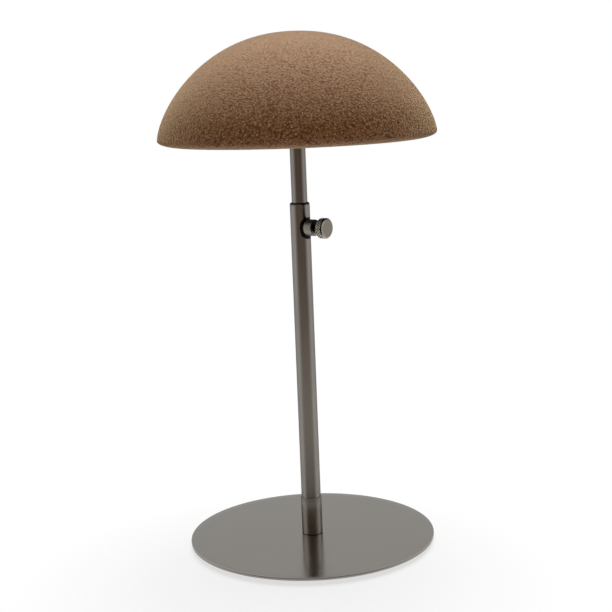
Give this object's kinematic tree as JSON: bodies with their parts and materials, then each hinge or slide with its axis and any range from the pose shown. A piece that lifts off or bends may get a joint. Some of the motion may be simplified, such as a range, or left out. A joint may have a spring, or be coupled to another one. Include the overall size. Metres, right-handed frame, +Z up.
{
  "type": "hat display stand",
  "caption": "Adjustable hat stand: round plate base, telescoping pole with a side clamp screw, and a low suede-covered dome that turns and carries a hat.",
  "frame": {"origin": "on the surface that the feet stand on, at the pole's axis", "axes": "+Z up along the pole; +X from the pole's axis towards the thumb screw's head"},
  "size_m": [0.175, 0.175, 0.33],
  "materials": {
    "plate_metal": "brushed gunmetal plating",
    "tube_metal": "polished gunmetal plating with a fine lengthwise grain",
    "screw_metal": "gunmetal plating, knurled rim and a turned end face",
    "zinc_steel": "zinc plated",
    "rubber": "matt",
    "nylon": "moulded nylon",
    "shell_plastic": "moulded, matt",
    "board": "raw fibreboard",
    "lining": "felt",
    "suede": "brushed faux suede"
  },
  "bodies": {
    "stand": {"base_plate": "plate_metal", "foot_1": "rubber", "foot_2": "rubber", "foot_3": "rubber", "foot_4": "rubber", "base_washer": "zinc_steel", "base_screw": "zinc_steel", "base_socket": "tube_metal", "outer_tube": "tube_metal", "clamp_boss": "tube_metal"},
    "sliding_bush": {"guide_bush": "nylon"},
    "head": {"inner_tube": "tube_metal", "top_plug": "zinc_steel", "head_washer": "zinc_steel", "head_bolt": "zinc_steel", "head_flange": "zinc_steel", "flange_screw_1": "zinc_steel", "flange_screw_2": "zinc_steel", "flange_screw_3": "zinc_steel", "closing_board": "board", "shell_screw_1": "zinc_steel", "shell_screw_2": "zinc_steel", "shell_screw_3": "zinc_steel", "head_shell": "shell_plastic", "underside_lining": "lining", "suede_cover": "suede"},
    "clamp_pad": {"clamp_tip": "nylon"},
    "clamp_screw": {"thumb_screw": "screw_metal"}
  },
  "joints": [
    {"name": "height_slide", "type": "slide", "parent": "stand", "child": "sliding_bush", "axis": [0, 0, 1], "range_m": [-0.036, 0.1]},
    {"name": "head_swivel", "type": "hinge", "parent": "sliding_bush", "child": "head", "pos_m": [0, 0, 0.262], "axis": [0, 0, 1], "continuous": true},
    {"name": "clamp_screw_travel", "type": "slide", "parent": "stand", "child": "clamp_pad", "axis": [1, 0, 0], "range_m": [0, 0.0016]},
    {"name": "clamp_screw_turn", "type": "hinge", "parent": "clamp_pad", "child": "clamp_screw", "pos_m": [0.0168, 0, 0.208], "axis": [1, 0, 0], "range_deg": [0, 720]}
  ],
  "couplings": [
    {"joint": "clamp_screw_travel", "follows": "clamp_screw_turn", "m_per_rad": 0.00012732}
  ]
}
